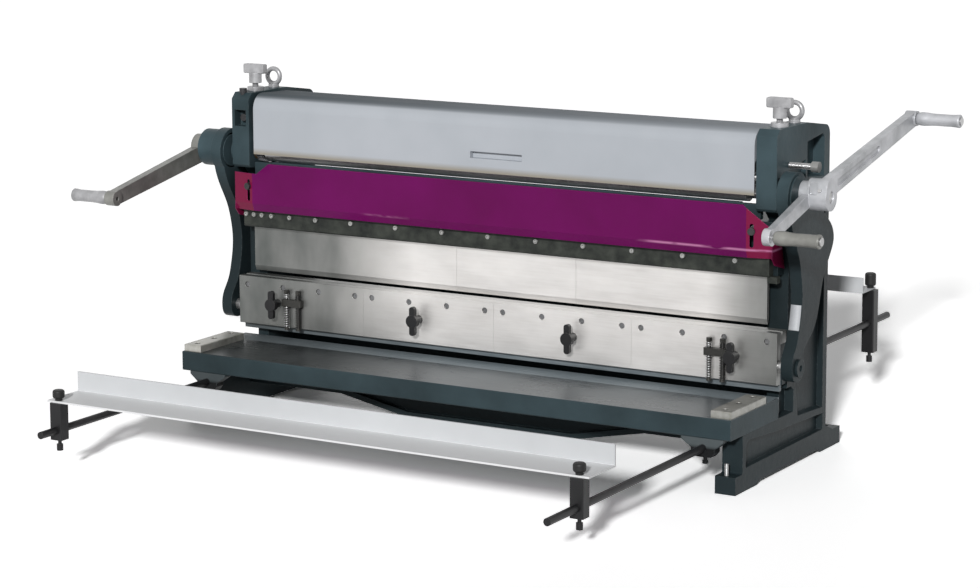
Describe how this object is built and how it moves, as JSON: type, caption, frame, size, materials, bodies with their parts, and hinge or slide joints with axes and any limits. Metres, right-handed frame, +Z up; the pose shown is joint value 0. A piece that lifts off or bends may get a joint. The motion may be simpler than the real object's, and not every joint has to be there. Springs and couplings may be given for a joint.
{
  "type": "slip roll machine",
  "caption": "Sheet metal machine with geared slip rolls under a hinged cover, a bending ram with V die, a shear table and sliding stops, worked by side cranks.",
  "frame": {"origin": "floor plane, at the centre of the four foot holes", "axes": "+X along the rolls towards the end with the long crank, +Y from the front table to the rear stop, +Z up"},
  "size_m": [1.8358, 1.655, 0.802],
  "materials": {
    "casting": "satin dark blue-green machine paint over rough casting",
    "table_iron": "planed and oiled iron",
    "ground_steel": "ground steel",
    "stop_paint": "pale grey satin paint",
    "guard_paint": "glossy magenta paint",
    "dark_steel": "blackened steel",
    "black_plastic": "matte black",
    "bare_casting": "bare light grey cast metal",
    "gear_steel": "oiled machined steel",
    "bronze": "plain bearing bronze"
  },
  "bodies": {
    "machine_base": {"side_frame_left": "casting", "side_frame_right": "casting", "roll_bushes": "bronze", "shear_table": "table_iron", "lower_blade": "ground_steel", "lower_cross_beam": "casting", "side_gauges": "ground_steel", "upper_beam": "casting", "punches": "ground_steel", "punch_clamp_bar": "casting", "frame_screws": "dark_steel", "hand_screw_nuts": "bare_casting", "lifting_eyes": "bare_casting", "idler_stud": "casting", "cover_hinge_knuckles": "dark_steel", "rear_cross_members": "casting", "guard_mountings": "dark_steel", "stop_rods": "ground_steel", "rod_clamps": "dark_steel"},
    "ram": {"ram_beam": "casting", "brake_die": "ground_steel", "ram_plates": "ground_steel", "ram_screws": "dark_steel", "upper_blade": "ground_steel", "ram_pins": "ground_steel", "hold_downs": "dark_steel", "link_left": "casting", "link_right": "casting"},
    "drive_shaft": {"front_roll": "ground_steel", "eccentrics": "ground_steel", "crank_left": "bare_casting", "crank_right": "bare_casting", "crank_spindles": "bare_casting", "left_hub_housing": "casting", "front_gear": "gear_steel"},
    "rear_roll_body": {"rear_roll": "ground_steel", "rear_gear": "gear_steel"},
    "idler": {"idler_gear": "gear_steel"},
    "bearing_carriage": {"bearing_blocks": "gear_steel"},
    "upper_roll_body": {"upper_roll": "ground_steel"},
    "left_hand_screw": {"hand_screw_left": "bare_casting"},
    "right_hand_screw": {"hand_screw_right": "bare_casting"},
    "cover": {"roll_cover": "stop_paint"},
    "guard_plate": {"guard": "guard_paint"},
    "front_stop": {"front_stop_angle": "stop_paint", "front_stop_posts": "dark_steel"},
    "rear_stop": {"rear_stop_angle": "stop_paint", "rear_stop_posts": "dark_steel"},
    "wing_screw_a": {"wing_screw_1": "dark_steel"},
    "wing_screw_b": {"wing_screw_2": "dark_steel"},
    "wing_screw_c": {"wing_screw_3": "dark_steel"},
    "wing_screw_d": {"wing_screw_4": "dark_steel"},
    "left_grip": {"grip_left": "bare_casting"},
    "right_grip": {"grip_right": "bare_casting"},
    "short_grip": {"grip_short": "bare_casting"},
    "front_left_knob": {"front_knob_left": "black_plastic"},
    "front_right_knob": {"front_knob_right": "black_plastic"},
    "rear_left_knob": {"rear_knob_left": "black_plastic"},
    "rear_right_knob": {"rear_knob_right": "black_plastic"}
  },
  "joints": [
    {"name": "ram_travel", "type": "slide", "parent": "machine_base", "child": "ram", "axis": [0, 0, 1], "range_m": [-0.0155, 0.0155]},
    {"name": "shaft_turn", "type": "hinge", "parent": "machine_base", "child": "drive_shaft", "pos_m": [0, -0.045, 0.602], "axis": [1, 0, 0], "range_deg": [-45.5, 45.5]},
    {"name": "rear_roll_turn", "type": "hinge", "parent": "machine_base", "child": "rear_roll_body", "pos_m": [0, 0.005, 0.602], "axis": [1, 0, 0], "range_deg": [-45.5, 45.5]},
    {"name": "idler_turn", "type": "hinge", "parent": "machine_base", "child": "idler", "pos_m": [0, -0.02, 0.56579], "axis": [1, 0, 0], "range_deg": [-45.5, 45.5]},
    {"name": "roll_height", "type": "slide", "parent": "machine_base", "child": "bearing_carriage", "axis": [0, 0, 1], "range_m": [-0.008, 0.008]},
    {"name": "upper_roll_turn", "type": "hinge", "parent": "bearing_carriage", "child": "upper_roll_body", "pos_m": [0, -0.02, 0.652], "axis": [1, 0, 0], "continuous": true},
    {"name": "left_screw_turn", "type": "hinge", "parent": "bearing_carriage", "child": "left_hand_screw", "pos_m": [-0.6715, -0.02, 0.78], "axis": [0, 0, 1], "range_deg": [-962, 962]},
    {"name": "right_screw_turn", "type": "hinge", "parent": "bearing_carriage", "child": "right_hand_screw", "pos_m": [0.6715, -0.02, 0.78], "axis": [0, 0, 1], "range_deg": [-962, 962]},
    {"name": "cover_hinge", "type": "hinge", "parent": "machine_base", "child": "cover", "pos_m": [0, 0.06, 0.7265], "axis": [-1, 0, 0], "range_deg": [0, 100]},
    {"name": "guard_travel", "type": "slide", "parent": "machine_base", "child": "guard_plate", "axis": [0, 0, 1], "range_m": [0, 0.022]},
    {"name": "front_stop_travel", "type": "slide", "parent": "machine_base", "child": "front_stop", "axis": [0, 1, 0], "range_m": [-0.045, 0.4]},
    {"name": "rear_stop_travel", "type": "slide", "parent": "machine_base", "child": "rear_stop", "axis": [0, 1, 0], "range_m": [-0.3, 0.08]},
    {"name": "wing_turn_a", "type": "hinge", "parent": "ram", "child": "wing_screw_a", "pos_m": [-0.584, -0.07, 0.249], "axis": [0, 1, 0], "continuous": true},
    {"name": "wing_turn_b", "type": "hinge", "parent": "ram", "child": "wing_screw_b", "pos_m": [-0.196, -0.07, 0.249], "axis": [0, 1, 0], "continuous": true},
    {"name": "wing_turn_c", "type": "hinge", "parent": "ram", "child": "wing_screw_c", "pos_m": [0.203, -0.07, 0.249], "axis": [0, 1, 0], "continuous": true},
    {"name": "wing_turn_d", "type": "hinge", "parent": "ram", "child": "wing_screw_d", "pos_m": [0.597, -0.07, 0.249], "axis": [0, 1, 0], "continuous": true},
    {"name": "left_grip_turn", "type": "hinge", "parent": "drive_shaft", "child": "left_grip", "pos_m": [-0.87, -0.38632, 0.52326], "axis": [1, 0, 0], "continuous": true},
    {"name": "right_grip_turn", "type": "hinge", "parent": "drive_shaft", "child": "right_grip", "pos_m": [0.87, 0.4155, 0.7161], "axis": [1, 0, 0], "continuous": true},
    {"name": "short_grip_turn", "type": "hinge", "parent": "drive_shaft", "child": "short_grip", "pos_m": [0.82, -0.25006, 0.54513], "axis": [1, 0, 0], "continuous": true},
    {"name": "front_left_knob_turn", "type": "hinge", "parent": "front_stop", "child": "front_left_knob", "pos_m": [-0.63, -0.82, 0.17], "axis": [0, 0, 1], "continuous": true},
    {"name": "front_right_knob_turn", "type": "hinge", "parent": "front_stop", "child": "front_right_knob", "pos_m": [0.63, -0.82, 0.17], "axis": [0, 0, 1], "continuous": true},
    {"name": "rear_left_knob_turn", "type": "hinge", "parent": "rear_stop", "child": "rear_left_knob", "pos_m": [-0.622, 0.604, 0.3], "axis": [0, 0, 1], "continuous": true},
    {"name": "rear_right_knob_turn", "type": "hinge", "parent": "rear_stop", "child": "rear_right_knob", "pos_m": [0.622, 0.604, 0.3], "axis": [0, 0, 1], "continuous": true}
  ],
  "couplings": [
    {"joint": "shaft_turn", "follows": "ram_travel", "rad_per_m": -50.35},
    {"joint": "rear_roll_turn", "follows": "ram_travel", "rad_per_m": -50.35},
    {"joint": "idler_turn", "follows": "ram_travel", "rad_per_m": 50.35},
    {"joint": "left_screw_turn", "follows": "roll_height", "rad_per_m": 2094.4},
    {"joint": "right_screw_turn", "follows": "roll_height", "rad_per_m": 2094.4}
  ]
}
